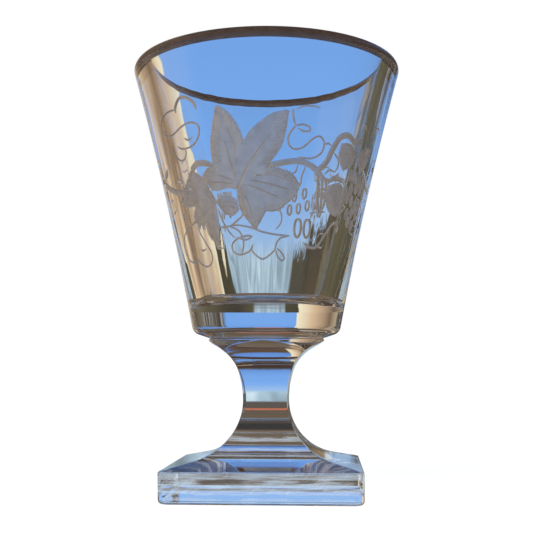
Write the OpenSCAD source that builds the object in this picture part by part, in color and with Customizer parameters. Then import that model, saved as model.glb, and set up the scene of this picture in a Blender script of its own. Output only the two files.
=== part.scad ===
// Square-footed goblet in heavy clear glass: a flared bowl with a thick solid
// base, a joining wafer, a waisted stem of square section and a square foot.
// Origin: centre of the underside of the foot, +Z up, millimetres.

/* [Foot] */
// Side of the square foot
foot_w = 61; // [50:1:80]
// Height of the foot's upright sides
foot_edge_h = 9.6; // [6:0.1:12]
// Radius of the foot's upright corners
foot_corner_r = 1.6; // [0.5:0.1:3]
// Width of the ground bevel round the underside
foot_bevel = 1; // [0.2:0.1:1.5]
// Slope of the foot's top next to its edge, in degrees
roof_slope = 13; // [10:1:16]

/* [Stem] */
// Side of the stem at its narrowest
waist_w = 14.2; // [12:0.1:18]
// Height of the narrowest place
waist_h = 29.9; // [28:0.1:32]
// Height at which the stem is fused to the foot
stem_seat_h = 16.4; // [15:0.1:18]
// Radius of each face as it starts to widen above the waist
shaft_r = 32; // [28:1:36]
// Angle at which that radius gives way to the tighter one
shaft_turn = 16; // [14:1:18]
// Radius of each face as it turns out under the bowl
flare_r = 13.4; // [12.8:0.1:13.6]
// Angle from upright at which each face ends
flare_turn = 63; // [62:1:65]
// Height of the stem's round top
stem_top_h = 48.7; // [48.4:0.1:49.4]
// Diameter of the stem's round top
stem_top_d = 36.8; // [36:0.1:38]

/* [Wafer] */
// Diameter of the joining wafer
wafer_d = 37.6; // [37:0.1:40]
// Thickness of the joining wafer
wafer_t = 1; // [0.6:0.1:2]
// Radius on the wafer's rim
wafer_edge_r = 0.4; // [0.1:0.05:0.45]

/* [Bowl] */
// Overall height of the glass
total_h = 140.4; // [130:0.1:150]
// Outer diameter where the wall would meet the level of the rim
rim_d = 89.6; // [80:0.1:96]
// Outer diameter where the wall would meet the underside
bowl_base_d = 47.8; // [44:0.2:52]
// Radius of the outer wall's slight outward sweep
wall_sweep_r = 1100; // [800:50:3000]
// Slope of the bowl's underside, in degrees
underside_slope = 20; // [12:1:26]
// Radius between the outer wall and the underside
base_round_r = 3.2; // [1:0.1:4]
// Inner diameter at the rim
mouth_d = 76.4; // [70:0.2:80]
// Diameter where the inner wall would meet the inner floor
floor_d = 35; // [30:0.5:38]
// Height of the inner floor
floor_h = 60.9; // [57:0.1:66]
// Radius between the inner wall and the inner floor
floor_round_r = 4; // [1:0.5:8]
// Radius on the outer edge of the rim
rim_outer_r = 2.4; // [0.5:0.1:3]
// Radius on the inner edge of the rim
rim_inner_r = 2.6; // [0.5:0.1:3]

/* [Hidden] */
$fn = 180;
wall_steps = 12;    // straight steps that make up the wall's sweep
round_steps = 6;    // straight steps that make up each small radius
glass = [0.80, 0.88, 0.93, 0.45];

foot_half = foot_w / 2;
waist_half = waist_w / 2;
stem_top_r = stem_top_d / 2;
wafer_r = wafer_d / 2;
bowl_base_h = stem_top_h + wafer_t;

// The cove below the waist runs down until it is as flat as the roof, and its
// radius is the one that brings the roof to the foot's edge at foot_edge_h.
cove_r = (waist_h - foot_edge_h - (foot_half - waist_half) * tan(roof_slope))
    / (cos(roof_slope) - (1 - sin(roof_slope)) * tan(roof_slope));
cove_centre = [waist_half + cove_r, waist_h];
cove_end = cove_centre - cove_r * [sin(roof_slope), cos(roof_slope)];

// Above the waist two radii follow each other, tangent where they meet.
shaft_centre = [waist_half + shaft_r, waist_h];
shaft_out = [cos(shaft_turn), -sin(shaft_turn)];
shaft_end = shaft_centre - shaft_r * shaft_out;
flare_centre = shaft_end + flare_r * shaft_out;
flare_end = flare_centre - flare_r * [cos(flare_turn), -sin(flare_turn)];
stem_top_half = flare_end.x + (stem_top_h - flare_end.y) * tan(flare_turn);

// The bowl's outer wall meets the line of its underside here.
underside_h = bowl_base_h + (bowl_base_d / 2 - wafer_r) * tan(underside_slope);

function unit(v) = v / norm(v);

// Points of the arc of radius r that rounds corner b between a and c.
function round_corner(a, b, c, r) =
    let (
        u = unit(a - b),
        v = unit(c - b),
        half = acos(u * v) / 2,
        centre = b + unit(u + v) * r / sin(half),
        from = b + u * r / tan(half) - centre,
        to = b + v * r / tan(half) - centre,
        turn = atan2(from.x * to.y - from.y * to.x, from * to)
    )
    [for (i = [0:round_steps])
        let (t = turn * i / round_steps)
        centre + [from.x * cos(t) - from.y * sin(t), from.x * sin(t) + from.y * cos(t)]];

// Points of the arc of radius r from p to q that bends to the right of p-q.
function sweep(p, q, r) =
    let (
        mid = (p + q) / 2,
        along = unit(q - p),
        right = [along.y, -along.x],
        centre = mid + right * sqrt(r * r - pow(norm(q - p) / 2, 2)),
        from = p - centre,
        turn = -2 * asin(norm(q - p) / 2 / r)
    )
    [for (i = [0:wall_steps])
        let (t = turn * i / wall_steps)
        centre + [from.x * cos(t) - from.y * sin(t), from.x * sin(t) + from.y * cos(t)]];

// A disc cut off above and below, so that it shapes only its own stretch.
module disc_slice(centre, r, low, high) {
    intersection() {
        translate(centre) circle(r);
        translate([centre.x - r, low]) square([2 * r, high - low]);
    }
}

// Side view of the foot and stem together: half of it, from the axis outwards.
module half_profile() {
    difference() {
        polygon([
            [0, 0],
            [foot_half - foot_bevel, 0],
            [foot_half, foot_bevel],
            [foot_half, foot_edge_h],
            cove_end,
            [waist_half, waist_h],
            shaft_end,
            flare_end,
            [stem_top_half, stem_top_h],
            [0, stem_top_h],
        ]);
        disc_slice(cove_centre, cove_r, cove_end.y, waist_h);
        disc_slice(shaft_centre, shaft_r, waist_h, shaft_end.y);
        disc_slice(flare_centre, flare_r, shaft_end.y, flare_end.y);
    }
}

// The profile run through the glass from front to back.
module profile_bar() {
    rotate([90, 0, 0])
        linear_extrude(2 * foot_w, center = true)
            union() {
                half_profile();
                mirror([1, 0]) half_profile();
            }
}

// Both bars crossed: a square solid with four hollow faces.
module square_body() {
    intersection() {
        profile_bar();
        rotate([0, 0, 90]) profile_bar();
    }
}

module rounded_square(side, r) {
    square([side, side - 2 * r], center = true);
    square([side - 2 * r, side], center = true);
    for (x = [-1, 1], y = [-1, 1])
        translate([x, y] * (side / 2 - r)) circle(r);
}

module foot() {
    color(glass)
        intersection() {
            square_body();
            linear_extrude(stem_seat_h) rounded_square(foot_w, foot_corner_r);
        }
}

// The square faces run out into a round top, which trims their corners away.
module stem() {
    color(glass)
        intersection() {
            square_body();
            translate([0, 0, stem_seat_h])
                cylinder(h = stem_top_h - stem_seat_h, r = stem_top_r);
        }
}

module wafer() {
    color(glass)
        translate([0, 0, stem_top_h])
            rotate_extrude()
                polygon(concat(
                    [[0, 0]],
                    round_corner([0, 0], [wafer_r, 0], [wafer_r, wafer_t], wafer_edge_r),
                    round_corner([wafer_r, 0], [wafer_r, wafer_t], [0, wafer_t], wafer_edge_r),
                    [[0, wafer_t]]
                ));
}

module bowl() {
    seat = [wafer_r - wafer_edge_r, bowl_base_h];
    base = [bowl_base_d / 2, underside_h];
    rim = [rim_d / 2, total_h];
    mouth = [mouth_d / 2, total_h];
    floor_edge = [floor_d / 2, floor_h];
    wall = sweep(base, rim, wall_sweep_r);
    low_wall = wall[1];
    high_wall = wall[wall_steps - 1];
    middle_wall = [for (i = [1:wall_steps - 1]) wall[i]];
    color(glass)
        rotate_extrude()
            polygon(concat(
                [[0, bowl_base_h], seat],
                round_corner(seat, base, low_wall, base_round_r),
                middle_wall,
                round_corner(high_wall, rim, mouth, rim_outer_r),
                round_corner(rim, mouth, floor_edge, rim_inner_r),
                round_corner(mouth, floor_edge, [0, floor_h], floor_round_r),
                [[0, floor_h]]
            ));
}

foot();
stem();
wafer();
bowl();
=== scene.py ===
"""A square-footed goblet in heavy clear glass with a wheel-engraved vine round its bowl.

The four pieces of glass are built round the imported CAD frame, in the same places and at the same size.
Lengths are worked out in millimetres and turned into metres when a mesh is made.
"""

import math

import bpy
import numpy as np
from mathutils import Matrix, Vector, geometry, kdtree


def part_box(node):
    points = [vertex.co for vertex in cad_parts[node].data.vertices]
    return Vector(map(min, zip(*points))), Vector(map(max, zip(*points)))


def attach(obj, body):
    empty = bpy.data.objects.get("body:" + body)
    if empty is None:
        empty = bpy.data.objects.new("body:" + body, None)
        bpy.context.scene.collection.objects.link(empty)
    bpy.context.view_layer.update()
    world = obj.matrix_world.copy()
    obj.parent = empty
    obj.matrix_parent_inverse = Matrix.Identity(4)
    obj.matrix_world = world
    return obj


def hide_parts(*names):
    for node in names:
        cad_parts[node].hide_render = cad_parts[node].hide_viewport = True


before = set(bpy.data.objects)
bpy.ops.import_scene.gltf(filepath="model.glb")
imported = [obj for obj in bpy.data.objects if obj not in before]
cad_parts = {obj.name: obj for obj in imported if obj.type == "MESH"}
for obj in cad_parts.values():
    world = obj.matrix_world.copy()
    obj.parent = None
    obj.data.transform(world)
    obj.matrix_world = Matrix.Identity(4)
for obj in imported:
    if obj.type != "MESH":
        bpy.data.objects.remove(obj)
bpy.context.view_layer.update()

MM = 0.001

# ---------------------------------------------------------------- sizes from the frame, in millimetres


def node_box(node):
    """Lowest and highest corner of a CAD node, in millimetres."""
    low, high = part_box(node)
    return np.array(low) / MM, np.array(high) / MM


FOOT_LOW, FOOT_HIGH = node_box("foot")
WAFER_LOW, WAFER_HIGH = node_box("wafer")

FOOT_HALF = (FOOT_HIGH[0] - FOOT_LOW[0]) / 2
STEM_SEAT_Z = FOOT_HIGH[2]
STEM_TOP_Z = node_box("stem")[1][2]
WAFER_R = (WAFER_HIGH[0] - WAFER_LOW[0]) / 2
BOWL_BASE_Z = WAFER_HIGH[2]
TOTAL_H = node_box("bowl")[1][2]

# The sizes inside those boxes, as the CAD model has them.
FOOT_EDGE_Z = 9.6
ROOF_SLOPE = math.radians(13)
WAIST_HALF = 7.1
WAIST_Z = 29.9
SHAFT_R = 32.0
SHAFT_TURN = math.radians(16)
FLARE_R = 13.4
FLARE_TURN = math.radians(63)
STEM_TOP_R = 18.4
WAFER_EDGE_R = 0.4
RIM_CORNER_R = 44.8
BASE_CORNER_R = 23.9
WALL_SWEEP_R = 1100.0
UNDERSIDE_SLOPE = math.radians(20)
BASE_ROUND_R = 3.2
MOUTH_R = 38.2
FLOOR_R = 17.5
FLOOR_Z = 60.9
FLOOR_ROUND_R = 4.0
RIM_OUTER_R = 2.4
RIM_INNER_R = 2.6

# ---------------------------------------------------------------- outlines


def point(*xs):
    return np.array(xs, float)


def unit(v):
    return v / np.linalg.norm(v)


def turned(v, angle):
    c, s = math.cos(angle), math.sin(angle)
    return point(v[0] * c - v[1] * s, v[0] * s + v[1] * c)


def arc(centre, start, turn, steps):
    """Points from start round centre through the angle turn."""
    return [centre + turned(start - centre, turn * i / steps) for i in range(steps + 1)]


def round_corner(a, b, c, radius, steps):
    """The arc that rounds corner b between a and c."""
    u, v = unit(a - b), unit(c - b)
    half = math.acos(float(u @ v)) / 2
    centre = b + unit(u + v) * radius / math.sin(half)
    start = b + u * radius / math.tan(half)
    end = b + v * radius / math.tan(half)
    p, q = start - centre, end - centre
    turn = math.atan2(p[0] * q[1] - p[1] * q[0], float(p @ q))
    return arc(centre, start, turn, steps)


def sweep(p, q, radius, steps):
    """The arc of that radius from p to q that bends to the right of p-q."""
    along = unit(q - p)
    half_chord = np.linalg.norm(q - p) / 2
    centre = (p + q) / 2 + point(along[1], -along[0]) * math.sqrt(radius**2 - half_chord**2)
    return arc(centre, p, -2 * math.asin(half_chord / radius), steps)


def along(points, steps):
    """Points evenly spaced between each pair, the first one left out."""
    out = []
    for a, b in zip(points, points[1:]):
        out += [a + (b - a) * (i + 1) / steps for i in range(steps)]
    return out


# ---------------------------------------------------------------- meshes


def add_object(name, data):
    obj = bpy.data.objects.new(name, data)
    bpy.context.scene.collection.objects.link(obj)
    return obj


def make_piece(name, verts, faces, corner_normals, materials, slots):
    """A mesh object from millimetre vertices, smooth shaded with the true normals of its surface."""
    mesh = bpy.data.meshes.new(name)
    mesh.from_pydata([tuple(v) for v in np.asarray(verts) * MM], [], faces)
    for m in materials:
        mesh.materials.append(m)
    mesh.polygons.foreach_set("material_index", slots)
    mesh.polygons.foreach_set("use_smooth", [True] * len(mesh.polygons))
    mesh.normals_split_custom_set([tuple(n) for n in corner_normals])
    obj = add_object(name, mesh)
    obj.visible_diffuse = False
    return obj


def grid_normals(p):
    """Normals of a closed-round grid p[ring][place], from the surface's own slopes."""
    round_way = np.roll(p, -1, 1) - np.roll(p, 1, 1)
    up = np.empty_like(p)
    up[1:-1] = p[2:] - p[:-2]
    up[0], up[-1] = p[1] - p[0], p[-1] - p[-2]
    n = np.cross(round_way, up)
    length = np.linalg.norm(n, axis=2, keepdims=True)
    return n / np.maximum(length, 1e-12)


def profile_normals(profile, fixed):
    """Outward (radial, z) normals of an outline that runs up the outside.

    fixed gives the normals that are already known, by their place in the outline.
    """
    p = np.array(profile)
    step = np.diff(p, axis=0)
    step /= np.linalg.norm(step, axis=1, keepdims=True)
    t = np.vstack([step[:1], step[:-1] + step[1:], step[-1:]])
    t /= np.linalg.norm(t, axis=1, keepdims=True)
    n = np.stack([t[:, 1], -t[:, 0]], 1)
    for i, value in fixed.items():
        n[i] = value
    return n


# ---------------------------------------------------------------- materials


def srgb(r, g, b):
    """A screen colour from 0-255 values, as the linear values that the nodes take."""
    return [((c / 255 + 0.055) / 1.055) ** 2.4 for c in (r, g, b)] + [1.0]


def plug(nt, value, socket):
    """Link a node's output to a socket, or set the socket to a plain value."""
    if isinstance(value, bpy.types.NodeSocket):
        nt.links.new(value, socket)
    else:
        socket.default_value = value


def math_node(nt, operation, *values):
    node = nt.nodes.new("ShaderNodeMath")
    node.operation = operation
    for value, socket in zip(values, node.inputs):
        plug(nt, value, socket)
    return node.outputs[0]


def times(nt, first, *others):
    for other in others:
        first = math_node(nt, "MULTIPLY", first, other)
    return first


def times_plus(nt, value, factor, extra):
    return math_node(nt, "MULTIPLY_ADD", value, factor, extra)


def noise(nt, vector, scale, detail):
    node = nt.nodes.new("ShaderNodeTexNoise")
    plug(nt, vector, node.inputs["Vector"])
    node.inputs["Scale"].default_value = scale
    node.inputs["Detail"].default_value = detail
    return node.outputs[0]


def above(nt, value, level, softness):
    """0 where value is below level and 1 where it is above, smooth over softness either side."""
    node = nt.nodes.new("ShaderNodeMapRange")
    node.interpolation_type = "SMOOTHSTEP"
    plug(nt, value, node.inputs["Value"])
    node.inputs["From Min"].default_value = level - softness
    node.inputs["From Max"].default_value = level + softness
    return node.outputs[0]


def below(nt, value, level, softness):
    """The opposite of above. Here the level may be a node's output."""
    return above(nt, math_node(nt, "SUBTRACT", level, value), 0, softness)


def between(nt, value, low, high, softness):
    return times(nt, above(nt, value, low, softness), below(nt, value, high, softness))


def mix(nt, share, first, second):
    node = nt.nodes.new("ShaderNodeMix")
    node.data_type = "RGBA"
    plug(nt, share, node.inputs[0])
    plug(nt, first, node.inputs[6])
    plug(nt, second, node.inputs[7])
    return node.outputs[2]


def ramp(nt, value, stops):
    """A colour for each value, from (value, screen colour) stops in rising order."""
    low, high = stops[0][0], stops[-1][0]
    scaled = nt.nodes.new("ShaderNodeMapRange")
    plug(nt, value, scaled.inputs["Value"])
    scaled.inputs["From Min"].default_value = low
    scaled.inputs["From Max"].default_value = high
    node = nt.nodes.new("ShaderNodeValToRGB")
    nt.links.new(scaled.outputs[0], node.inputs[0])
    elements = node.color_ramp.elements
    elements.remove(elements[1])
    for i, (place, colour) in enumerate(stops):
        element = elements[0] if i == 0 else elements.new((place - low) / (high - low))
        element.position = (place - low) / (high - low)
        element.color = srgb(*colour)
    return node.outputs[0]


def node_material(name):
    mat = bpy.data.materials.new(name)
    mat.use_nodes = True
    nt = mat.node_tree
    nt.nodes.clear()
    return mat, nt


def object_place(nt):
    """A point's place on the object, in metres."""
    return nt.nodes.new("ShaderNodeTexCoord").outputs["Object"]


GLASS_IOR = 1.52
SHADOW_TINT = (0.86, 0.88, 0.89, 1)
CLEAR_DIM = (0.965, 0.98, 0.984, 1)
CLEAR_BRIGHT = (0.995, 0.998, 0.998, 1)


def glass_shader(nt, colour, roughness, transmission):
    """The Principled shader as glass. Each value is a plain one or a node's output."""
    bsdf = nt.nodes.new("ShaderNodeBsdfPrincipled")
    plug(nt, colour, bsdf.inputs["Base Color"])
    plug(nt, roughness, bsdf.inputs["Roughness"])
    plug(nt, transmission, bsdf.inputs["Transmission Weight"])
    bsdf.inputs["IOR"].default_value = GLASS_IOR
    return bsdf


def add_bump(nt, bsdf, height, strength, depth):
    """Let a texture lift and sink the surface by up to depth, in millimetres."""
    node = nt.nodes.new("ShaderNodeBump")
    node.inputs["Strength"].default_value = strength
    node.inputs["Distance"].default_value = depth * MM
    nt.links.new(height, node.inputs["Height"])
    nt.links.new(node.outputs[0], bsdf.inputs["Normal"])


def lets_light_through(nt, bsdf):
    """Lamps and the floor's soft light pass through the glass, so that it casts a light shadow."""
    path = nt.nodes.new("ShaderNodeLightPath")
    clear = nt.nodes.new("ShaderNodeBsdfTransparent")
    clear.inputs["Color"].default_value = SHADOW_TINT
    choice = nt.nodes.new("ShaderNodeMixShader")
    nt.links.new(path.outputs["Is Shadow Ray"], choice.inputs[0])
    nt.links.new(bsdf.outputs[0], choice.inputs[1])
    nt.links.new(clear.outputs[0], choice.inputs[2])
    out = nt.nodes.new("ShaderNodeOutputMaterial")
    nt.links.new(choice.outputs[0], out.inputs["Surface"])


def clear_glass(name):
    """Hand-made glass: a very faint tint that comes and goes, and a surface that is not quite even."""
    mat, nt = node_material(name)
    where = object_place(nt)
    tint = mix(nt, noise(nt, where, 70.0, 2), CLEAR_DIM, CLEAR_BRIGHT)
    bsdf = glass_shader(nt, tint, 0.0, 1.0)
    add_bump(nt, bsdf, noise(nt, where, 110.0, 1), 0.06, 0.2)
    lets_light_through(nt, bsdf)
    return mat


def streaks_of(nt, along, up, per_along, per_up, detail):
    """Noise drawn out along one way. The rates are turns of the noise for each unit of along and of up."""
    place = nt.nodes.new("ShaderNodeCombineXYZ")
    nt.links.new(times(nt, along, per_along), place.inputs[0])
    nt.links.new(times(nt, up, per_up), place.inputs[1])
    return noise(nt, place.outputs[0], 1.0, detail)


SCRATCH_SLANT = math.radians(38)


def worn_glass_painted_reflection(name):
    """The foot's glass: hazy sides with fine slanted scratches, coloured with painted reflections of sky blue
    and grey-brown, and a painted brown reflection along its top's edge.
    """
    mat, nt = node_material(name)
    parts = nt.nodes.new("ShaderNodeSeparateXYZ")
    nt.links.new(object_place(nt), parts.inputs[0])
    x, y, z = (math_node(nt, "DIVIDE", value, MM) for value in parts.outputs[:3])
    run = math_node(nt, "ADD", x, y)
    from_middle = math_node(nt, "MINIMUM", math_node(nt, "ABSOLUTE", x), math_node(nt, "ABSOLUTE", y))
    s, c = math.sin(SCRATCH_SLANT), math.cos(SCRATCH_SLANT)

    brushed = streaks_of(nt, run, z, 0.1, 1.6, 3)
    patches = streaks_of(nt, run, z, 0.09, 0.05, 1)
    down_scratch = times_plus(nt, z, s, times(nt, run, c))
    over_scratch = times_plus(nt, z, -c, times(nt, run, s))
    scratches = above(nt, streaks_of(nt, down_scratch, over_scratch, 0.22, 1.9, 2), 0.6, 0.05)
    scratches = times(nt, scratches, above(nt, patches, 0.5, 0.06))

    # The side is clear lowest down, then painted pale sky blue, then painted faint brown up to the edge:
    # painted reflections laid on the real haze.
    low_edge = times_plus(nt, patches, 1.5, 2.4)
    hazy = above(nt, math_node(nt, "SUBTRACT", z, low_edge), 0, 0.35)
    pale_top = times_plus(nt, patches, 7.0, times_plus(nt, brushed, 4.0, 1.0))
    pale_part = below(nt, z, pale_top, 0.9)
    share = times(nt, times_plus(nt, pale_part, 0.4, 0.03), times_plus(nt, brushed, 3.0, -0.5))
    side_haze = times(nt, hazy, times_plus(nt, scratches, 0.16, share))
    # Painted reflection: sky blue low on the sides and grey-brown above it. Only the scratches' whitish
    # colour is the glass's own.
    pale = mix(nt, above(nt, brushed, 0.5, 0.15), srgb(96, 146, 196), srgb(160, 204, 238))
    side_painted_reflection = mix(nt, pale_part, srgb(112, 94, 76), pale)
    side_painted_reflection = mix(nt, times(nt, scratches, 0.5), side_painted_reflection, srgb(208, 214, 218))

    # The painted brown reflection on the sloping top reaches higher away from the middle of each edge.
    roof_edge = times_plus(nt, above(nt, from_middle, 17, 5), 3.0, FOOT_EDGE_Z + 1.1)
    roof_painted_reflection = times(nt, below(nt, z, roof_edge, 0.5), 0.85)
    roof_painted_colour = mix(nt, above(nt, from_middle, 14, 2), srgb(110, 66, 34), srgb(122, 100, 76))

    on_roof = above(nt, z, FOOT_EDGE_Z, 0.12)
    haze = times(nt, side_haze, math_node(nt, "SUBTRACT", 1.0, on_roof))
    # How much of the painted reflection colour, on the top and on the hazy sides, replaces clear glass.
    tint_share = times_plus(nt, on_roof, math_node(nt, "SUBTRACT", roof_painted_reflection, side_haze), side_haze)
    colour = mix(nt, tint_share, CLEAR_BRIGHT, mix(nt, on_roof, side_painted_reflection, roof_painted_colour))
    bsdf = glass_shader(nt, colour, times(nt, haze, 0.05), math_node(nt, "SUBTRACT", 1.0, haze))
    lets_light_through(nt, bsdf)
    return mat


def fused_joint(name):
    """Where two pieces are fused the glass runs on unbroken, so light goes straight through."""
    mat, nt = node_material(name)
    clear = nt.nodes.new("ShaderNodeBsdfTransparent")
    out = nt.nodes.new("ShaderNodeOutputMaterial")
    nt.links.new(clear.outputs[0], out.inputs["Surface"])
    return mat


def painted_reflection_rim(name):
    """The rim's ground edge, tinted dark brown: a painted dark reflection of the ground. It lets only a
    little light through.
    """
    mat, nt = node_material(name)
    shade = mix(nt, noise(nt, object_place(nt), 450.0, 3), srgb(58, 44, 40), srgb(92, 74, 64))
    lets_light_through(nt, glass_shader(nt, shade, 0.25, 0.25))
    return mat


def engraved_glass(name):
    """Glass ground matt by the engraver's wheel: some light scatters, and the rest comes through blurred."""
    mat, nt = node_material(name)
    where = object_place(nt)
    fine = noise(nt, where, 5200.0, 2)
    shade = mix(nt, noise(nt, where, 420.0, 3), srgb(142, 132, 124), srgb(184, 174, 166))
    rough = nt.nodes.new("ShaderNodeMapRange")
    plug(nt, fine, rough.inputs["Value"])
    rough.inputs["To Min"].default_value = 0.32
    rough.inputs["To Max"].default_value = 0.62
    bsdf = glass_shader(nt, shade, rough.outputs[0], 0.62)
    add_bump(nt, bsdf, fine, 0.25, 0.02)
    lets_light_through(nt, bsdf)
    return mat


GLASS = clear_glass("clear_glass")
FOOT_GLASS = worn_glass_painted_reflection("worn_glass_painted_reflection")
# The rim's edge carries a painted dark reflection of the ground, in dark brown.
RIM_GLASS = painted_reflection_rim("painted_reflection_rim")
JOINT = fused_joint("fused_joint")
ENGRAVED = engraved_glass("engraved_glass")

# ---------------------------------------------------------------- bowl

BOWL_STEPS = 240
GLASS_SLOT, JOINT_SLOT, ENGRAVED_SLOT, RIM_SLOT = range(4)

BASE_CORNER = point(BASE_CORNER_R, BOWL_BASE_Z + (BASE_CORNER_R - WAFER_R) * math.tan(UNDERSIDE_SLOPE))
WALL = sweep(BASE_CORNER, point(RIM_CORNER_R, TOTAL_H), WALL_SWEEP_R, 40)


def bowl_profile():
    """The bowl's outline, from the middle of its base up, over and down to its floor, and its rim's ends."""
    seat = point(WAFER_R - WAFER_EDGE_R, BOWL_BASE_Z)
    rim = point(RIM_CORNER_R, TOTAL_H)
    mouth = point(MOUTH_R, TOTAL_H)
    floor_edge = point(FLOOR_R, FLOOR_Z)
    outline = [point(0, BOWL_BASE_Z), seat]
    outline += round_corner(seat, BASE_CORNER, WALL[1], BASE_ROUND_R, 10)
    outline += WALL[2:-2]
    rim_start = len(outline)
    outline += round_corner(WALL[-3], rim, mouth, RIM_OUTER_R, 12)
    outline += round_corner(rim, mouth, floor_edge, RIM_INNER_R, 12)
    rim_end = len(outline) - 1
    inner_start = outline[-1]
    corner = round_corner(mouth, floor_edge, point(0, FLOOR_Z), FLOOR_ROUND_R, 12)
    outline += along([inner_start, corner[0]], 30)[:-1]
    outline += corner
    outline.append(point(0, FLOOR_Z))
    return outline, (rim_start, rim_end)


# The hand-worked inner wall's waves: how many go round, their height in millimetres, where they start and
# how far they lean.
WAVES = ((13, 0.03, 0.4, 0.9), (29, 0.02, 2.1, -1.3), (47, 0.013, 4.4, 1.8))


def wavy(angle, z):
    """How far the hand-worked inner wall stands out from true, in millimetres, and its change per radian."""
    low = (TOTAL_H - z) / (TOTAL_H - FLOOR_Z)
    fade = np.clip(3 * low - 0.4, 0, 1) * np.clip(1.6 * (1 - low) + 0.25, 0, 1)
    height, change = 0, 0
    for count, size, start, lean in WAVES:
        phase = count * angle + start + lean * 4 * low
        height = height + size * np.sin(phase)
        change = change + size * count * np.cos(phase)
    strength = fade * (0.7 + 1.3 * low)
    return height * strength, change * strength


def revolve(name, profile, steps, joint_ends, rim=None, band=None):
    """A turned solid whose outline starts and ends on the axis. joint_ends says which flat ends are fused.

    rim is the (first, last) outline points of the rim. band is ((first, last) outline points, make), where
    make fills that stretch: from the first vertex of its low and high rings it gives more vertices, and
    triangles with the normals and slot of each.
    """
    p = np.array(profile)
    n = profile_normals(profile, {0: (0, -1), len(profile) - 1: (0, 1)})
    angles = np.arange(steps) * 2 * math.pi / steps
    c, s = np.cos(angles), np.sin(angles)
    verts = [np.array([[0, 0, p[0][1]], [0, 0, p[-1][1]]])]
    normals = [np.array([[0, 0, -1.0], [0, 0, 1.0]])]
    for i, ((r, z), (nr, nz)) in enumerate(zip(p[1:-1], n[1:-1]), 1):
        out, turn = wavy(angles, z) if rim and i > rim[1] else (0.0, 0.0)
        out, turn = out * min(1, r / FLOOR_R), turn * min(1, r / FLOOR_R)
        side = -nr * turn / r
        verts.append(np.stack([(r + out) * c, (r + out) * s, np.full(steps, z)], 1))
        normals.append(np.stack([nr * c - side * s, nr * s + side * c, np.full(steps, nz)], 1))
    verts, normals = np.vstack(verts), np.vstack(normals)

    def place(i, k):
        """Vertex number of place k on outline point i."""
        return 2 + (i - 1) * steps + k % steps

    last = len(profile) - 2
    faces, slots = [], []
    for k in range(steps):
        faces.append((0, place(1, k + 1), place(1, k)))
        faces.append((1, place(last, k), place(last, k + 1)))
        slots += [JOINT_SLOT if fused else GLASS_SLOT for fused in joint_ends]
        for i in range(1, last):
            if band and band[0][0] <= i < band[0][1]:
                continue
            faces.append((place(i, k), place(i, k + 1), place(i + 1, k + 1), place(i + 1, k)))
            slots.append(RIM_SLOT if rim and rim[0] <= i < rim[1] else GLASS_SLOT)
    corner_normals = []
    for face in faces:
        flat = {0: (0, 0, -1), 1: (0, 0, 1)}.get(face[0])
        corner_normals += [flat if flat else normals[v] for v in face]
    if band:
        more, triangles, triangle_normals, triangle_slots = band[1](
            place(band[0][0], 0), place(band[0][1], 0), len(verts)
        )
        verts = np.vstack([verts, more])
        faces += triangles
        corner_normals += triangle_normals
        slots += triangle_slots
    verts, faces = without_loose(verts, faces)
    return make_piece(name, verts, faces, corner_normals, [GLASS, JOINT, ENGRAVED, RIM_GLASS], slots)


def without_loose(verts, faces):
    """The same mesh without the vertices that no face uses."""
    used = sorted({v for face in faces for v in face})
    number = {v: i for i, v in enumerate(used)}
    return verts[used], [tuple(number[v] for v in face) for face in faces]


def wafer_profile():
    low, high = STEM_TOP_Z, BOWL_BASE_Z
    outline = [point(0, low)]
    outline += round_corner(point(0, low), point(WAFER_R, low), point(WAFER_R, high), WAFER_EDGE_R, 6)
    outline += round_corner(point(WAFER_R, low), point(WAFER_R, high), point(0, high), WAFER_EDGE_R, 6)
    outline.append(point(0, high))
    return outline


# ---------------------------------------------------------------- the engraving
# It is drawn on the outer wall rolled out flat, in millimetres: u to the right round the wall, true at
# radius DRAWING_R, with 0 at the front, and z up from DRAWING_Z above the table. Every line in it is a cut in
# the bowl's own mesh.

DRAWING_R = 34.0
DRAWING_Z = 0.4
BAND_LOW, BAND_HIGH = 66.4, 127.4
LINE_DEPTH = 0.2
LEAF_DEPTH = 0.2
GRAPE_DEPTH = 0.4
TOOTH_PITCH = 0.9
HATCH_STEPS = (0.5, 1.4, 2.2)
HATCH_LENGTH = 3.6
HATCH_LEAN = 0.8
HATCH_DEPTH = 0.16
RIB_WIDTH = 0.45
VEIN_WIDTH = 0.3
BAND_ROWS = 26
CLEAR_OF_LINES = 0.9


def curve(points, step=0.7):
    """A smooth line through the points, in steps of about that length."""
    p = [point(*q) for q in points]
    p = [2 * p[0] - p[1]] + p + [2 * p[-1] - p[-2]]
    out = [p[1]]
    for a, b, c, d in zip(p, p[1:], p[2:], p[3:]):
        count = max(2, round(float(np.linalg.norm(c - b)) / step))
        for i in range(1, count + 1):
            t = i / count
            bend = 2 * a - 5 * b + 4 * c - d
            twist = 3 * b - a - 3 * c + d
            out.append(0.5 * (2 * b + (c - a) * t + bend * t**2 + twist * t**3))
    return np.array(out)


def sideways(line):
    """Unit vectors to the left of a line at each of its points."""
    t = np.gradient(line, axis=0)
    t /= np.linalg.norm(t, axis=1, keepdims=True)
    return np.stack([-t[:, 1], t[:, 0]], 1)


def beside(line, q):
    """Distance along the line, and distance to its left, of each point q."""
    a, b = line[:-1], line[1:]
    seg = b - a
    length = np.linalg.norm(seg, axis=1)
    rel = q[:, None] - a[None]
    t = np.clip((rel * seg).sum(2) / length**2, 0, 1)
    off = rel - t[..., None] * seg
    near = np.argmin((off**2).sum(2), axis=1)
    rows = np.arange(len(q))
    start = np.concatenate([[0], np.cumsum(length)])
    side = seg[near, 0] * rel[rows, near, 1] - seg[near, 1] * rel[rows, near, 0]
    distance = np.sqrt((off[rows, near] ** 2).sum(1))
    return start[near] + t[rows, near] * length[near], np.sign(side) * distance


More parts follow.
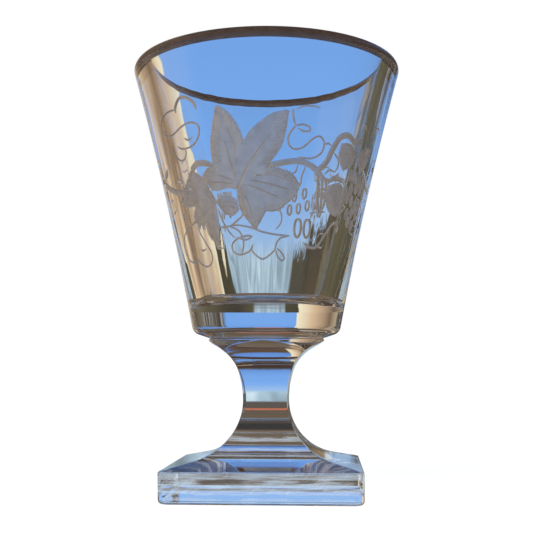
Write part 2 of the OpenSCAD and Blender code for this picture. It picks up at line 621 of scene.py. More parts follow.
def within(outline, q):
    """Whether each point q lies inside a closed outline, by counting the sides it passes under."""
    a, b = outline[:-1], outline[1:]
    spans = (a[None, :, 0] > q[:, 0, None]) != (b[None, :, 0] > q[:, 0, None])
    run = np.where(a[:, 0] == b[:, 0], 1, b[:, 0] - a[:, 0])
    height = a[:, 1] + (q[:, 0, None] - a[:, 0]) * (b[:, 1] - a[:, 1]) / run
    return (spans & (height > q[:, 1, None])).sum(1) % 2 == 1


class Drawing:
    """Points, cut edges and outlined faces of the rolled-out drawing, and how deep each shape is cut."""

    def __init__(self):
        self.points, self.edges, self.faces, self.depths = [], [], [], []
        self.set_depth = {}

    def add(self, points, depth=None):
        """Put points in, with their depth where the shape does not give it. Returns their numbers."""
        first = len(self.points)
        self.points += [tuple(q) for q in points]
        ids = list(range(first, len(self.points)))
        if depth is not None:
            self.set_depth.update({i: depth for i in ids})
        return ids

    def line(self, points, half_width, ends=1.2):
        """A cut of round section that narrows to a point over the given length at each end."""
        mid = curve(points)
        run = np.concatenate([[0], np.cumsum(np.linalg.norm(np.diff(mid, axis=0), axis=1))])
        width = half_width * np.sqrt(np.clip(np.minimum(run, run[-1] - run) / ends, 0.02, 1))
        left = self.add(mid + sideways(mid) * width[:, None])
        centre = self.add(mid)
        right = self.add(mid - sideways(mid) * width[:, None])
        for i in range(len(mid) - 1):
            self.faces.append((left[i], centre[i], centre[i + 1], left[i + 1]))
            self.faces.append((centre[i], right[i], right[i + 1], centre[i + 1]))

        def depth(q):
            _, n = beside(mid, q)
            return LINE_DEPTH * min(half_width / 0.3, 2) * np.clip(1 - (n / half_width) ** 2, 0, 1)

        self.depths.append(depth)

    def ring(self, centre, wide, high, half_width):
        """An oval line."""
        turn = [math.pi * (0.5 + i / 4) for i in range(9)]
        points = [(centre[0] + wide * math.cos(a), centre[1] + high * math.sin(a)) for a in turn]
        self.line(points, half_width, 0.2)

    def leaf(self, heart, sides, ribs=(), veins=()):
        """A hollow with raised ribs and sunk veins.

        sides go anticlockwise round it, each (points, height of its teeth). From a toothed side fine cuts
        run in towards the heart.
        """
        edge, plain = [], []
        for points, tooth in sides:
            line = curve(points, TOOTH_PITCH / 2)
            plain.append(line[:-1])
            out = -sideways(line)
            teeth = np.array(line)
            if tooth:
                teeth[1:-1:2] += tooth * out[1:-1:2]
                for i in range(1, len(line) - 1):
                    way = unit(unit(point(*heart) - line[i]) - HATCH_LEAN * out[i])
                    sunk = LEAF_DEPTH + (HATCH_DEPTH if i % 2 else 0)
                    cut = self.add([line[i] + way * far for far in HATCH_STEPS], sunk)
                    cut += self.add([line[i] + way * HATCH_LENGTH])
                    self.edges += list(zip(cut, cut[1:]))
            edge += list(teeth[:-1])
        self.faces.append(tuple(self.add(edge, 0.0)))
        for points in ribs:
            mid = curve(points)
            taper = np.linspace(1, 0.3, len(mid))[:, None]
            for shift, deep in ((-RIB_WIDTH, 1.5), (0, 0.2), (RIB_WIDTH, 1.5)):
                row = self.add(mid + shift * sideways(mid) * taper, LEAF_DEPTH * deep)
                self.edges += list(zip(row, row[1:]))
        for points in veins:
            mid = curve(points)
            for shift, deep in ((-VEIN_WIDTH, 1.0), (0, 2.2), (VEIN_WIDTH, 1.0)):
                row = self.add(mid + shift * sideways(mid), LEAF_DEPTH * deep)
                self.edges += list(zip(row, row[1:]))
        whole = np.vstack(plain + [plain[0][:1]])

        def depth(q):
            _, n = beside(whole, q)
            room = np.where(within(whole, q), np.abs(n), -np.abs(n))
            return LEAF_DEPTH * np.clip((room + 0.3) / 0.6, 0, 1)

        self.depths.append(depth)

    def berry(self, centre, wide, high, depth_here):
        """An oval hollow."""
        centre = point(*centre)
        turn = [2 * math.pi * i / 16 for i in range(16)]
        for share in (1.0, 0.72, 0.4):
            ring = self.add([centre + share * point(wide * math.cos(a), high * math.sin(a)) for a in turn])
            self.edges += list(zip(ring, ring[1:] + ring[:1]))
            if share == 1.0:
                self.faces.append(tuple(ring))
        self.add([centre])

        def depth(q):
            reach = np.hypot((q[:, 0] - centre[0]) / wide, (q[:, 1] - centre[1]) / high)
            return depth_here * np.clip(1 - reach**2, 0, 1)

        self.depths.append(depth)

    def bunch(self, top, counts):
        """Grapes in rows that grow shorter downwards. top is the middle of the first row."""
        for row, count in enumerate(counts):
            for i in range(count):
                u = top[0] + (i - (count - 1) / 2) * 2.9
                z = top[1] - 3.5 * row + 0.7 * math.cos(5 * i + 3 * row)
                self.berry((u, z), 1.3, 1.9, GRAPE_DEPTH)


def draw_front(d):
    """The big leaf, its smaller neighbour, the branch with its grapes, and their tendrils.

    Most of these points were measured on one real engraving and rounded, and are not a design of their own,
    which is an open fault.
    """
    d.leaf(
        (-7, 94),
        [
            ([(-7, 93), (-7, 89.5), (-6, 86), (-4, 83.5), (-1.5, 81)], 0.6),
            ([(-1.5, 81), (0.5, 84), (2, 86.5)], 0.6),
            ([(2, 86.5), (5, 86.5), (9, 89), (11.5, 91.5), (12.5, 94.5)], 0.5),
            ([(12.5, 94.5), (10, 97.5), (6, 99), (2, 99.5)], 0.4),
            ([(2, 99.5), (4.5, 102.5), (6.5, 106), (7.5, 111), (8, 116)], 0.3),
            ([(8, 116), (4, 115), (1, 113), (-2.5, 110), (-4.5, 107)], 0),
            ([(-4.5, 107), (-5.5, 110.5), (-8, 115), (-11.5, 118)], 0.3),
            ([(-11.5, 118), (-13.5, 111), (-14.5, 106), (-14.5, 101)], 0.3),
            ([(-14.5, 101), (-17, 99.5), (-19.5, 97)], 0.3),
            ([(-19.5, 97), (-18, 94), (-14.5, 93), (-10, 93.5), (-7, 93)], 0),
        ],
        [[(-7, 93.5), (-4, 99), (-0.5, 104), (3, 108.5)], [(-7.5, 97), (-9, 102), (-10, 107)]],
        [
            [(-1, 97), (4, 97), (9, 95.5)],
            [(-2, 95.5), (3, 94.5), (9, 93)],
            [(-3, 94), (1, 92.5), (6, 90.5)],
            [(-5, 91.5), (-3.5, 88), (-2, 84)],
            [(-9, 96), (-13, 97.5), (-16, 97.5)],
            [(-9, 95), (-13, 95.5), (-16.5, 96)],
            [(-7, 101), (-7.5, 106), (-9, 111)],
        ],
    )
    d.leaf(
        (-16, 90),
        [
            ([(-15, 90.5), (-16.5, 93.5), (-18.5, 97), (-22.5, 100)], 0.3),
            ([(-22.5, 100), (-25, 96.5), (-23, 94)], 0.3),
            ([(-23, 94), (-27, 94), (-31, 91.5)], 0.3),
            ([(-31, 91.5), (-28, 89.5), (-22.5, 89.5)], 0.3),
            ([(-22.5, 89.5), (-24.5, 87.5), (-25, 84.5)], 0.3),
            ([(-25, 84.5), (-22, 83.5), (-19.5, 84)], 0.3),
            ([(-19.5, 84), (-18.5, 80), (-15.5, 75)], 0.3),
            ([(-15.5, 75), (-15, 79), (-14.5, 84), (-15, 90.5)], 0),
        ],
        [
            [(-16, 90), (-18.5, 93.5), (-21.5, 98)],
            [(-16, 90), (-22, 91), (-28, 91.5)],
            [(-16, 90), (-16.8, 84), (-16, 78)],
        ],
        [[(-17, 88.5), (-20, 87), (-23, 85.5)]],
    )
    d.leaf(
        (-16, 90),
        [
            ([(-15, 90), (-12.5, 87), (-9.5, 85.5), (-7, 87)], 0.3),
            ([(-7, 87), (-7, 89.5), (-9, 91), (-12, 91.5), (-15, 90)], 0),
        ],
        [],
        [[(-13.5, 89.5), (-10.5, 89.7), (-8, 89)], [(-13, 88.5), (-10.5, 88.5), (-8, 87.7)]],
    )
    # branches
    d.line([(1.5, 99.5), (6, 100.5), (10, 101.2), (13.5, 101), (17, 99.5), (20, 97)], 0.9)
    d.line([(17.5, 98.5), (20.5, 101.5), (22.5, 106), (24.5, 109.5), (27.5, 110.5), (31, 109),
            (34.5, 111)], 0.95)
    d.line([(16, 100), (18, 98), (18.8, 94.5), (19, 90.5), (20, 86.5)], 0.6)
    d.line([(18, 99), (20, 96), (20.4, 91.5), (20.7, 87)], 0.5)
    d.line([(19, 98.5), (21.5, 95.5), (21.8, 91), (21.5, 87.5)], 0.5)
    d.line([(19.5, 97), (23, 96.5), (26.5, 99)], 0.6)
    d.line([(-42, 99), (-36, 96), (-31, 94.3), (-26.5, 95), (-23.5, 99), (-20, 101.7), (-15, 101)], 0.95)
    # the small leaves over and beside the grapes
    d.leaf(
        (28, 109),
        [
            ([(25.5, 108), (25, 104), (27.5, 100)], 0.3),
            ([(27.5, 100), (31, 102), (32, 105), (29.5, 108), (25.5, 108)], 0.3),
        ],
        [[(28, 107.5), (28, 104), (27.5, 101)]],
    )
    d.leaf(
        (36, 100),
        [
            ([(36.5, 100.5), (39.5, 103.5), (41, 109)], 0.3),
            ([(41, 109), (36.5, 108), (33.5, 105), (36.5, 100.5)], 0.3),
        ],
        [[(36.5, 101.5), (38, 105), (39.5, 108)]],
    )
    d.leaf(
        (25, 97),
        [
            ([(22.5, 95), (22.2, 91), (24, 87.5), (27, 86)], 0.3),
            ([(27, 86), (29.5, 88), (30, 92), (27.5, 96), (22.5, 95)], 0.3),
        ],
        [[(24.5, 95), (26, 91), (27, 88)]],
    )
    d.bunch((36, 98.5), (4, 5, 4, 3, 2))
    # buds
    for u, z in ((11, 91), (14.3, 92), (9.6, 87), (12.6, 87.5), (15.6, 88.5)):
        d.ring((u, z), 0.65, 1.5, 0.35)
    # tendrils on the right
    thin = 0.3
    d.line([(9.2, 116.5), (9.4, 113.5), (10.3, 111.6), (12, 112), (14, 111.4), (14.3, 110.3),
            (12.5, 110), (10.7, 110.9)], thin)
    d.line([(10.4, 111.7), (8.7, 109.5), (8.1, 107), (9.5, 104.9), (12.3, 105.2), (15.7, 108.3),
            (17.8, 108.9), (19.2, 107), (18.5, 104.2), (15.5, 102.4), (11.2, 102.4)], thin)
    d.line([(10, 116), (12, 117.2), (15, 117.4), (17, 117)], 0.25)
    d.line([(19, 106.3), (20.5, 107.3), (22, 106.5)], thin)
    d.line([(22.8, 105), (25, 102.8), (25.2, 100.8), (24.2, 99)], thin)
    d.line([(20.5, 98), (22.3, 99.6), (24.5, 99)], thin)
    d.line([(11.5, 100.5), (11, 98.5), (9.5, 97)], thin)
    d.line([(14, 100), (12.9, 97), (12.8, 95), (11.5, 93)], thin)
    d.line([(15.3, 77.5), (18, 76.2), (21, 76.6), (24, 80.5), (27, 84), (29.3, 83.3), (29.3, 81)], 0.45)
    d.line([(17.5, 78.5), (19.7, 78.2)], 0.45)
    d.line([(16.5, 86.3), (20, 86.9), (23, 87)], 0.25)
    d.line([(1.5, 87), (5.3, 87.4), (7, 85.5), (6.8, 83), (5, 81)], 0.25)
    for u in (12.8, 16.2):
        d.ring((u, 81.8), 1.2, 2.8, 0.45)
    d.line([(40, 87.5), (36.8, 88.5), (36.8, 90.5), (39.5, 91.8), (42.8, 90.5), (43, 88.5),
            (39.5, 86.5), (36.5, 84.5), (38, 82), (42, 81.8)], 0.35)
    d.line([(42, 85), (39, 84.5), (38.5, 86.5), (41, 87.5), (43, 85.5), (41, 82), (39.5, 78.5),
            (41, 76.5)], 0.35)
    d.line([(39, 112), (40.5, 115), (43.5, 116), (45.5, 114.5)], thin)
    # tendrils underneath
    d.line([(-12, 82.3), (-8, 82.6), (-3.5, 81.8), (0.5, 80.5), (5, 79.7), (10.5, 79.3)], thin)
    d.line([(10, 79.3), (7, 78.7), (5.5, 77), (5, 75.2), (3, 73.5), (0.5, 72.4), (-2.3, 74),
            (-3.3, 75.5), (-2.6, 77)], thin)
    d.line([(5.3, 75.5), (6, 73.3), (7.5, 72), (8.6, 72.6), (7.6, 74.2), (5.5, 75.8)], thin)
    d.line([(-2.6, 76.5), (-4, 74.8), (-7.5, 73.8), (-10, 74.8), (-10.3, 76.8), (-8.5, 78.4),
            (-5, 79.3), (-3, 79.2), (-5, 78.2), (-8.8, 79)], thin)
    d.line([(-14.5, 88), (-13.2, 84.2), (-11, 80.7), (-9, 78.7)], thin)
    d.line([(-5.5, 85.6), (-8.3, 83.6), (-11, 82.3), (-15, 82.2)], thin)
    d.line([(-11, 82.3), (-8, 81.2), (-6.3, 79), (-6.1, 76.4), (-6.8, 74)], thin)
    # tendrils on the left
    d.line([(-17.8, 117.4), (-18.3, 119.5), (-20.5, 121.4), (-23, 121.5), (-25, 119.3),
            (-25.5, 117.5)], 0.5)
    d.line([(-25, 118.7), (-29, 118.5), (-32.3, 117), (-33.4, 114.3), (-31.5, 112), (-28.5, 111.6),
            (-24, 113.3), (-20.5, 114), (-18, 113), (-17.6, 111), (-19, 108.5), (-21.5, 107),
            (-25, 106.8), (-27.5, 108)], thin)
    d.line([(-24, 110), (-22, 109), (-20.3, 109.8)], thin)
    d.line([(-31.3, 108.5), (-29.8, 108), (-28.8, 105.5), (-27, 103.6), (-25, 103.7), (-23.8, 105.5),
            (-24.2, 107)], thin)
    d.line([(-30, 91.2), (-25, 90.2), (-22.7, 87.8), (-24, 85), (-28, 83.5), (-32.5, 81.3),
            (-34.8, 78), (-33, 74), (-29.5, 72.4), (-26, 73.5)], thin)
    d.line([(-23.2, 84.5), (-23.5, 81.5), (-21.3, 78), (-19.2, 74.7), (-19.6, 72), (-22, 70.8),
            (-25, 71.8), (-27.3, 73.8)], thin)
    d.line([(-24.6, 76.2), (-23, 75.7), (-21.5, 76.3)], thin)
    d.line([(-29.5, 88.5), (-30.8, 86.5), (-29.2, 85.5), (-28.3, 87)], thin)


def draw_back(d):
    """The branch runs on round both sides, each with a leaf, curls and a bunch of grapes, to the back."""
    for side in (-1, 1):
        def flip(*points, side=side):
            return [(side * u, z) for u, z in points]

        d.line(flip((48, 104), (55, 100), (62, 98.5), (69, 101), (75, 104), (81, 103)), 0.9)
        toothed = [
            ([(67, 93), (64.5, 90), (62, 84)], 0.3),
            ([(62, 84), (66, 85), (68, 87)], 0.3),
            ([(68, 87), (71, 84), (75, 83)], 0.3),
            ([(75, 83), (74.5, 88), (72.5, 91)], 0.3),
            ([(72.5, 91), (77, 92), (79, 97)], 0.3),
            ([(79, 97), (75, 98), (71.5, 97)], 0.3),
            ([(71.5, 97), (71.5, 102), (69, 106)], 0.3),
            ([(69, 106), (66, 102), (65.5, 97)], 0.3),
            ([(65.5, 97), (62, 99), (59, 98)], 0.3),
            ([(59, 98), (61, 94), (67, 93)], 0.3),
        ]
        if side < 0:
            toothed = [(flip(*points)[::-1], tooth) for points, tooth in toothed[::-1]]
        d.leaf((side * 68, 92), toothed, [flip((67.5, 92), (68.5, 97), (69, 103))])
        d.line(flip((66, 99), (67, 96), (68, 92)), 0.4)
        d.line(flip((75, 104), (80, 107), (84, 110), (88, 109), (88.5, 106), (85.5, 105),
                (84.5, 107.5)), 0.3)
        d.line(flip((54, 100.5), (56, 106), (60, 109), (63.5, 107.5), (62.5, 104.8), (60, 105.5)), 0.3)
        d.line(flip((58, 99), (57, 94), (53.5, 90), (50, 91), (50.5, 94), (53, 93.5)), 0.3)
        d.line(flip((73, 84), (76, 80), (80, 79.5), (82, 82.5), (79.5, 84.5), (78, 82)), 0.3)
        d.bunch((side * 85, 99), (3, 3, 2, 1))
        d.line(flip((81, 103), (84, 102), (85, 100)), 0.35)


def wall_radius(z):
    """Radius of the outer wall, and its outward slope in millimetres per millimetre of height."""
    wall = np.array(WALL)
    slope = np.gradient(wall[:, 0], wall[:, 1])
    return np.interp(z, wall[:, 1], wall[:, 0]), np.interp(z, wall[:, 1], slope)


def fill_in(d, low_z, high_z):
    """Add a plain grid wherever nothing is drawn close by. Returns its points' numbers by (column, row)."""
    tree = kdtree.KDTree(len(d.points))
    for i, q in enumerate(d.points):
        tree.insert((q[0], q[1], 0), i)
    tree.balance()
    grid = {}
    for k in range(BOWL_STEPS + 1):
        u = 2 * math.pi * DRAWING_R * (k / BOWL_STEPS - 0.5)
        for j in range(BAND_ROWS + 1):
            z = low_z + (high_z - low_z) * j / BAND_ROWS
            border = j in (0, BAND_ROWS) or k in (0, BOWL_STEPS)
            if border or tree.find((u, z, 0))[2] > CLEAR_OF_LINES:
                grid[k, j] = d.add([(u, z)])[0]
    return grid


def cut_depths(d, q, sources_of):
    """How deep each point of the triangulated drawing is cut."""
    depth = np.zeros(len(q))
    for shape in d.depths:
        depth = np.maximum(depth, shape(q))
    for i, sources in enumerate(sources_of):
        known = [d.set_depth[source] for source in sources if source in d.set_depth]
        if known and depth[i] > 0:
            depth[i] = max(known)
    return depth


def on_the_wall(q, depth):
    """Where the drawing's points come on the bowl, and the uncut wall's normals there."""
    height = q[:, 1] + DRAWING_Z
    radius, slope = wall_radius(height)
    across = 1 / np.sqrt(1 + slope**2)
    angle = q[:, 0] / DRAWING_R - math.pi / 2
    out_r = radius - depth * across
    out_z = height + depth * slope * across
    places = np.stack([out_r * np.cos(angle), out_r * np.sin(angle), out_z], 1)
    normals = np.stack([across * np.cos(angle), across * np.sin(angle), -slope * across], 1)
    return places, normals


def vertex_numbers(grid, sources_of, low_first, high_first, next_vert):
    """The vertex number of each point of the triangulated drawing, and which points are new vertices.

    Border points are the rings' own vertices, and the drawing's two ends meet at the back. Place k on a ring
    is at the angle 360 k / BOWL_STEPS from +X.
    """
    known = {source: i for i, sources in enumerate(sources_of) for source in sources}
    number = {}
    for (k, j), source in grid.items():
        place = (k - BOWL_STEPS // 4 - BOWL_STEPS // 2) % BOWL_STEPS
        if j == 0:
            number[known[source]] = low_first + place
        elif j == BAND_ROWS:
            number[known[source]] = high_first + place
    twins = {known[grid[BOWL_STEPS, j]]: known[grid[0, j]] for j in range(1, BAND_ROWS)}
    new = [i for i in range(len(sources_of)) if i not in number and i not in twins]
    number.update({i: next_vert + place for place, i in enumerate(new)})
    number.update({twin: number[i] for twin, i in twins.items()})
    return number, new


def engraved_band(outline):
    """Which points of the bowl's outline the engraving lies between, and what fills that band."""
    heights = [q[1] for q in outline[: len(outline) // 2]]
    low = max(i for i, z in enumerate(heights) if z < BAND_LOW)
    high = max(i for i, z in enumerate(heights) if z < BAND_HIGH and i < len(WALL) + 10)

    def fill(low_first, high_first, next_vert):
        d = Drawing()
        draw_front(d)
        draw_back(d)
        grid = fill_in(d, outline[low][1] - DRAWING_Z, outline[high][1] - DRAWING_Z)
        flat = [Vector(q) for q in d.points]
        flat_verts, _, triangles, sources_of, _, shapes_of = geometry.delaunay_2d_cdt(
            flat, d.edges, d.faces, 0, 1e-5, True
        )
        q = np.array([tuple(v) for v in flat_verts])
        depth = cut_depths(d, q, sources_of)
        xyz, smooth = on_the_wall(q, depth)
        number, new = vertex_numbers(grid, sources_of, low_first, high_first, next_vert)
        faces, normals, slots = [], [], []
        for triangle, shapes in zip(triangles, shapes_of):
            a, b, c = (xyz[i] for i in triangle)
            flat_normal = np.cross(b - a, c - a)
            size = np.linalg.norm(flat_normal)
            engraved = bool(shapes) and max(depth[i] for i in triangle) > 1e-4
            faces.append(tuple(number[i] for i in triangle))
            if engraved and size > 1e-9:
                normals += [flat_normal / size] * 3
            else:
                normals += [smooth[i] for i in triangle]
            slots.append(ENGRAVED_SLOT if engraved else GLASS_SLOT)
        return xyz[new], faces, normals, slots

    return (low, high), fill


# ---------------------------------------------------------------- stem and foot


def cove():
    """Radius and centre of the hollow curve below the waist, as the CAD model works them out."""
    s, c, t = math.sin(ROOF_SLOPE), math.cos(ROOF_SLOPE), math.tan(ROOF_SLOPE)
    radius = (WAIST_Z - FOOT_EDGE_Z - (FOOT_HALF - WAIST_HALF) * t) / (c - (1 - s) * t)
    return radius, point(WAIST_HALF + radius, WAIST_Z)


def square_outline():
    """The side outline of foot and stem as (half width, z, corner radius), from the underside up."""
    radius, centre = cove()
    cove_end = centre - radius * point(math.sin(ROOF_SLOPE), math.cos(ROOF_SLOPE))
    bottom = point(FOOT_HALF, 0)
    edge = point(FOOT_HALF, FOOT_EDGE_Z)
    outline = [point(10, 0), point(20, 0)]
    outline += round_corner(point(0, 0), bottom, edge, 1.4, 8)
    outline += along([outline[-1], point(FOOT_HALF, FOOT_EDGE_Z - 0.6)], 10)
    outline += round_corner(bottom, edge, cove_end, 0.5, 6)
    outline += along([outline[-1], cove_end], 12)
    outline += arc(centre, cove_end, -(math.pi / 2 - ROOF_SLOPE), 90)[1:]
    shaft_centre = point(WAIST_HALF + SHAFT_R, WAIST_Z)
    shaft_out = point(math.cos(SHAFT_TURN), -math.sin(SHAFT_TURN))
    outline += arc(shaft_centre, point(WAIST_HALF, WAIST_Z), -SHAFT_TURN, 40)[1:]
    shaft_end = shaft_centre - SHAFT_R * shaft_out
    flare_centre = shaft_end + FLARE_R * shaft_out
    outline += arc(flare_centre, shaft_end, SHAFT_TURN - FLARE_TURN, 50)[1:]
    last = outline[-1]
    top = point(last[0] + (STEM_TOP_Z - last[1]) * math.tan(FLARE_TURN), STEM_TOP_Z)
    outline += along([last, top], 10)
    return outline


SIDE_POINTS, CORNER_POINTS = 10, 7
LEAST_TURN = math.radians(14)


def square_ring(half, z, radius):
    """One level of the square body: four flats and four rounded corners, trimmed to the stem's round top."""
    if z > WAIST_Z and math.hypot(half, half - radius) > STEM_TOP_R:
        turn = max(math.acos(min(half / STEM_TOP_R, 1)), LEAST_TURN)
        reach = STEM_TOP_R * math.sin(turn)
        ys = [-reach + 2 * reach * i / SIDE_POINTS for i in range(SIDE_POINTS + 1)]
        flat = [point(min(half, math.sqrt(STEM_TOP_R**2 - y * y)), y) for y in ys]
        angles = [turn + (math.pi / 2 - 2 * turn) * i / CORNER_POINTS for i in range(1, CORNER_POINTS)]
        round_part = [STEM_TOP_R * point(math.cos(a), math.sin(a)) for a in angles]
    else:
        reach = half - radius
        flat = [point(half, -reach + 2 * reach * i / SIDE_POINTS) for i in range(SIDE_POINTS + 1)]
        angles = [math.pi / 2 * i / CORNER_POINTS for i in range(1, CORNER_POINTS)]
        round_part = [point(reach, reach) + radius * point(math.cos(a), math.sin(a)) for a in angles]
    quarter = flat + round_part
    ring = []
    for q in range(4):
        ring += [turned(p, q * math.pi / 2) for p in quarter]
    return [point(p[0], p[1], z) for p in ring]


def corner_radius(half, z):
    if z <= FOOT_EDGE_Z:
        return 2.2 - 1.2 * z / FOOT_EDGE_Z
    return 0.35 + 0.65 * max(0.0, (half - 12) / 18)


def square_piece(name, low, high, joint_ends, glass):
    """The part of the foot and stem between two heights, with a flat face at each end."""
    outline = square_outline()
    levels = []
    for a, b in zip(outline, outline[1:]):
        for cut in (low, high):
            if a[1] < cut - 1e-6 and b[1] > cut + 1e-6:
                levels.append(a + (b - a) * (cut - a[1]) / (b[1] - a[1]))
        if low - 1e-6 <= b[1] <= high + 1e-6:
            levels.append(b)
    levels.sort(key=lambda p: (p[1], p[0] if p[1] < 1e-6 else 0))
    rings = np.array([square_ring(h, z, corner_radius(h, z)) for h, z in levels])
    normals = grid_normals(rings).reshape(-1, 3)
    count = rings.shape[1]
    verts = rings.reshape(-1, 3)
    faces = []
    for i in range(len(rings) - 1):
        for k in range(count):
            j = (k + 1) % count
            faces.append((i * count + k, i * count + j, (i + 1) * count + j, (i + 1) * count + k))
    corner_normals = [normals[v] for face in faces for v in face]
    slots = [GLASS_SLOT] * len(faces)
    faces.append(tuple(range(count))[::-1])
    faces.append(tuple((len(rings) - 1) * count + k for k in range(count)))
    corner_normals += [(0, 0, -1)] * count + [(0, 0, 1)] * count
    slots += [JOINT_SLOT if fused else GLASS_SLOT for fused in joint_ends]
    return make_piece(name, verts, faces, corner_normals, [glass, JOINT], slots)


# ---------------------------------------------------------------- the pieces

foot = square_piece("foot_glass", 0.0, STEM_SEAT_Z, (False, True), FOOT_GLASS)
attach(foot, "root")
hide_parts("foot")

stem = square_piece("stem_glass", STEM_SEAT_Z, STEM_TOP_Z, (True, True), GLASS)
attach(stem, "root")
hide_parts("stem")

wafer = revolve("wafer_glass", wafer_profile(), BOWL_STEPS, (True, True))
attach(wafer, "root")
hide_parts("wafer")

outline, rim_ends = bowl_profile()
band_ends, fill_band = engraved_band(outline)
bowl = revolve("bowl_glass", outline, BOWL_STEPS, (True, False), rim_ends, (band_ends, fill_band))
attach(bowl, "root")
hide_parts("bowl")

# ---------------------------------------------------------------- floor, surroundings, lamps and camera

floor_mesh = bpy.data.meshes.new("floor")
floor_mesh.from_pydata([(-3, -3, 0), (3, -3, 0), (3, 3, 0), (-3, 3, 0)], [], [(0, 1, 2, 3)])
floor = add_object("floor", floor_mesh)
floor_mat, floor_nt = node_material("pale_floor")
floor_bsdf = floor_nt.nodes.new("ShaderNodeBsdfPrincipled")
floor_bsdf.inputs["Base Color"].default_value = (0.94, 0.94, 0.94, 1)
floor_bsdf.inputs["Roughness"].default_value = 0.8
floor_bsdf.inputs["Specular IOR Level"].default_value = 0.0
floor_out = floor_nt.nodes.new("ShaderNodeOutputMaterial")
floor_nt.links.new(floor_bsdf.outputs[0], floor_out.inputs["Surface"])
floor.data.materials.append(floor_mat)
floor.visible_transmission = False
floor.visible_glossy = False

# The glass has next to no colour of its own: what shows in it is what stands round it. The surroundings are
# a clear sky over open country, with a sunlit wall on one side and dark trees on the other. Azimuth is in
# degrees from straight behind the glass, or from straight in front of it, and grows towards +X. The places,
# and some of the colours, are rounded measurements of one real scene, which is an open fault.

world = bpy.data.worlds.new("surroundings")
world.use_nodes = True
bpy.context.scene.world = world
wnt = world.node_tree
wnt.nodes.clear()

direction = wnt.nodes.new("ShaderNodeTexCoord").outputs["Generated"]
split = wnt.nodes.new("ShaderNodeSeparateXYZ")
wnt.links.new(direction, split.inputs[0])
elevation = math_node(wnt, "DEGREES", math_node(wnt, "ARCSINE", split.outputs[2]))
azimuth = math_node(wnt, "ARCTAN2", split.outputs[0], math_node(wnt, "ABSOLUTE", split.outputs[1]))
azimuth = math_node(wnt, "DEGREES", azimuth)
behind = above(wnt, split.outputs[1], -0.3, 0.15)

# Uneven edges are fine for twigs and leaves. Streaks are long and upright.
ragged = math_node(wnt, "SUBTRACT", noise(wnt, direction, 40.0, 3), 0.5)
streaks = streaks_of(wnt, azimuth, elevation, 0.55, 0.033, 2)

# Dark ground that lightens and darkens again below the horizon, then sky, then a dark roof overhead.
OPEN_VIEW = (
    (-90, (50, 50, 50)),
    (-60, (60, 55, 55)),
    (-40, (110, 95, 75)),
    (-5, (85, 75, 65)),
    (0, (180, 205, 225)),
    (10, (120, 170, 235)),
    (38, (95, 140, 210)),
    (40, (90, 70, 50)),
    (90, (60, 45, 40)),
)
view = ramp(wnt, elevation, OPEN_VIEW)

# A thin orange rail stands in front of the ground.
RAIL_LOW, RAIL_HIGH = -15.0, -12.5
view = mix(wnt, between(wnt, elevation, RAIL_LOW, RAIL_HIGH, 0.4), view, srgb(190, 105, 70))

# The half in front of the glass is duller: country in shadow, seen from under a dark roof.
SHADED_VIEW = (
    (-90, (50, 50, 50)),
    (-45, (90, 80, 75)),
    (-5, (75, 70, 65)),
    (0, (140, 165, 185)),
    (17, (90, 125, 175)),
    (23, (90, 85, 80)),
    (90, (60, 55, 55)),
)
view = mix(wnt, behind, ramp(wnt, elevation, SHADED_VIEW), view)

# Pale haze with upright streaks lies low in the gap between the trees.
HAZE = ((0.3, (120, 135, 145)), (0.5, (165, 190, 205)), (0.7, (205, 225, 235)))
haze_part = times(wnt, above(wnt, elevation, -3.5, 0.5), below(wnt, elevation, 4, 1.5))
haze_part = times(wnt, haze_part, between(wnt, azimuth, -13, 3, 1), behind)
view = mix(wnt, haze_part, view, ramp(wnt, streaks, HAZE))

# A dark mass with lighter streaks stands high on the right.
MASS = ((0.35, (60, 55, 55)), (0.5, (90, 85, 80)), (0.6, (150, 150, 150)))
mass_part = times(wnt, above(wnt, azimuth, 20, 2), between(wnt, elevation, 4, 27, 2), behind)
view = mix(wnt, mass_part, view, ramp(wnt, streaks, MASS))

# The trees on the right grow taller in two steps, and those on the left rise away from the middle.
TREES = (
    (-20, (65, 60, 45)),
    (0, (90, 85, 65)),
    (10, (60, 55, 45)),
    (50, (95, 90, 70)),
    (90, (65, 60, 55)),
)
right_top = times_plus(wnt, ragged, 6.0, 3.5)
right_top = times_plus(wnt, above(wnt, azimuth, 16, 6), 2.5, right_top)
right_top = times_plus(wnt, above(wnt, azimuth, 46, 14), 26.0, right_top)
right_trees = times(wnt, above(wnt, azimuth, 2, 1), below(wnt, elevation, right_top, 0.6))
left_top = times_plus(wnt, azimuth, -0.5, -4.5)
left_trees = times(wnt, below(wnt, azimuth, -12, 0.5), below(wnt, elevation, left_top, 0.5))
tree_part = math_node(wnt, "MAXIMUM", right_trees, left_trees)
tree_part = times(wnt, tree_part, above(wnt, elevation, -18, 4), behind)
view = mix(wnt, tree_part, view, ramp(wnt, azimuth, TREES))

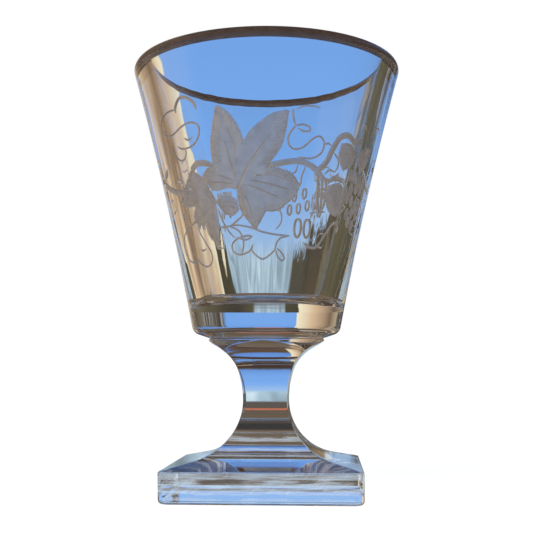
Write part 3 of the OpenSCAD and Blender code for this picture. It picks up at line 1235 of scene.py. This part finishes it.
# A cream wall, shaded in the middle of its length.
CREAM_WALL = (
    (-90, (150, 140, 115)),
    (-65, (190, 165, 135)),
    (-50, (110, 90, 75)),
    (-30, (210, 180, 145)),
    (-19, (240, 230, 200)),
)
wall_edge = times_plus(wnt, ragged, 2.0, -19.0)
wall_part = times(wnt, below(wnt, azimuth, wall_edge, 0.4), between(wnt, elevation, -17, 50, 2), behind)
view = mix(wnt, wall_part, view, ramp(wnt, azimuth, CREAM_WALL))

# The camera and matt surfaces see plain white instead.
seen = wnt.nodes.new("ShaderNodeBackground")
seen.inputs["Strength"].default_value = 1.12
wnt.links.new(view, seen.inputs["Color"])
plain = wnt.nodes.new("ShaderNodeBackground")
plain.inputs["Color"].default_value = (1, 1, 1, 1)
plain.inputs["Strength"].default_value = 1.0
path = wnt.nodes.new("ShaderNodeLightPath")
straight = math_node(wnt, "MAXIMUM", path.outputs["Is Camera Ray"], path.outputs["Is Diffuse Ray"])
choose = wnt.nodes.new("ShaderNodeMixShader")
wnt.links.new(straight, choose.inputs[0])
wnt.links.new(seen.outputs[0], choose.inputs[1])
wnt.links.new(plain.outputs[0], choose.inputs[2])
wout = wnt.nodes.new("ShaderNodeOutputWorld")
wnt.links.new(choose.outputs[0], wout.inputs["Surface"])

sun_data = bpy.data.lights.new("soft_light", "SUN")
sun_data.energy = 0.8
sun_data.angle = math.radians(12)
sun = add_object("soft_light", sun_data)
sun.rotation_euler = (math.radians(38), math.radians(-34), 0)
sun.visible_glossy = False
sun.visible_transmission = False

CAMERA_DISTANCE = 325.5
CAMERA_AZIMUTH = math.radians(3.5)
CAMERA_Z = 39.9
CAMERA_PITCH = math.radians(5.88)
camera_data = bpy.data.cameras.new("camera")
camera_data.lens = 67.0
camera_data.sensor_width = 36.0
camera_data.clip_start = 0.01
camera = add_object("camera", camera_data)
camera.location = (
    CAMERA_DISTANCE * math.sin(CAMERA_AZIMUTH) * MM,
    -CAMERA_DISTANCE * math.cos(CAMERA_AZIMUTH) * MM,
    CAMERA_Z * MM,
)
camera.rotation_euler = (math.pi / 2 + CAMERA_PITCH, 0, CAMERA_AZIMUTH)
bpy.context.scene.camera = camera

scene = bpy.context.scene
scene.view_settings.view_transform = "Standard"
scene.cycles.max_bounces = 32
scene.cycles.transmission_bounces = 32
scene.cycles.transparent_max_bounces = 32
scene.cycles.glossy_bounces = 16
scene.cycles.use_denoising = True
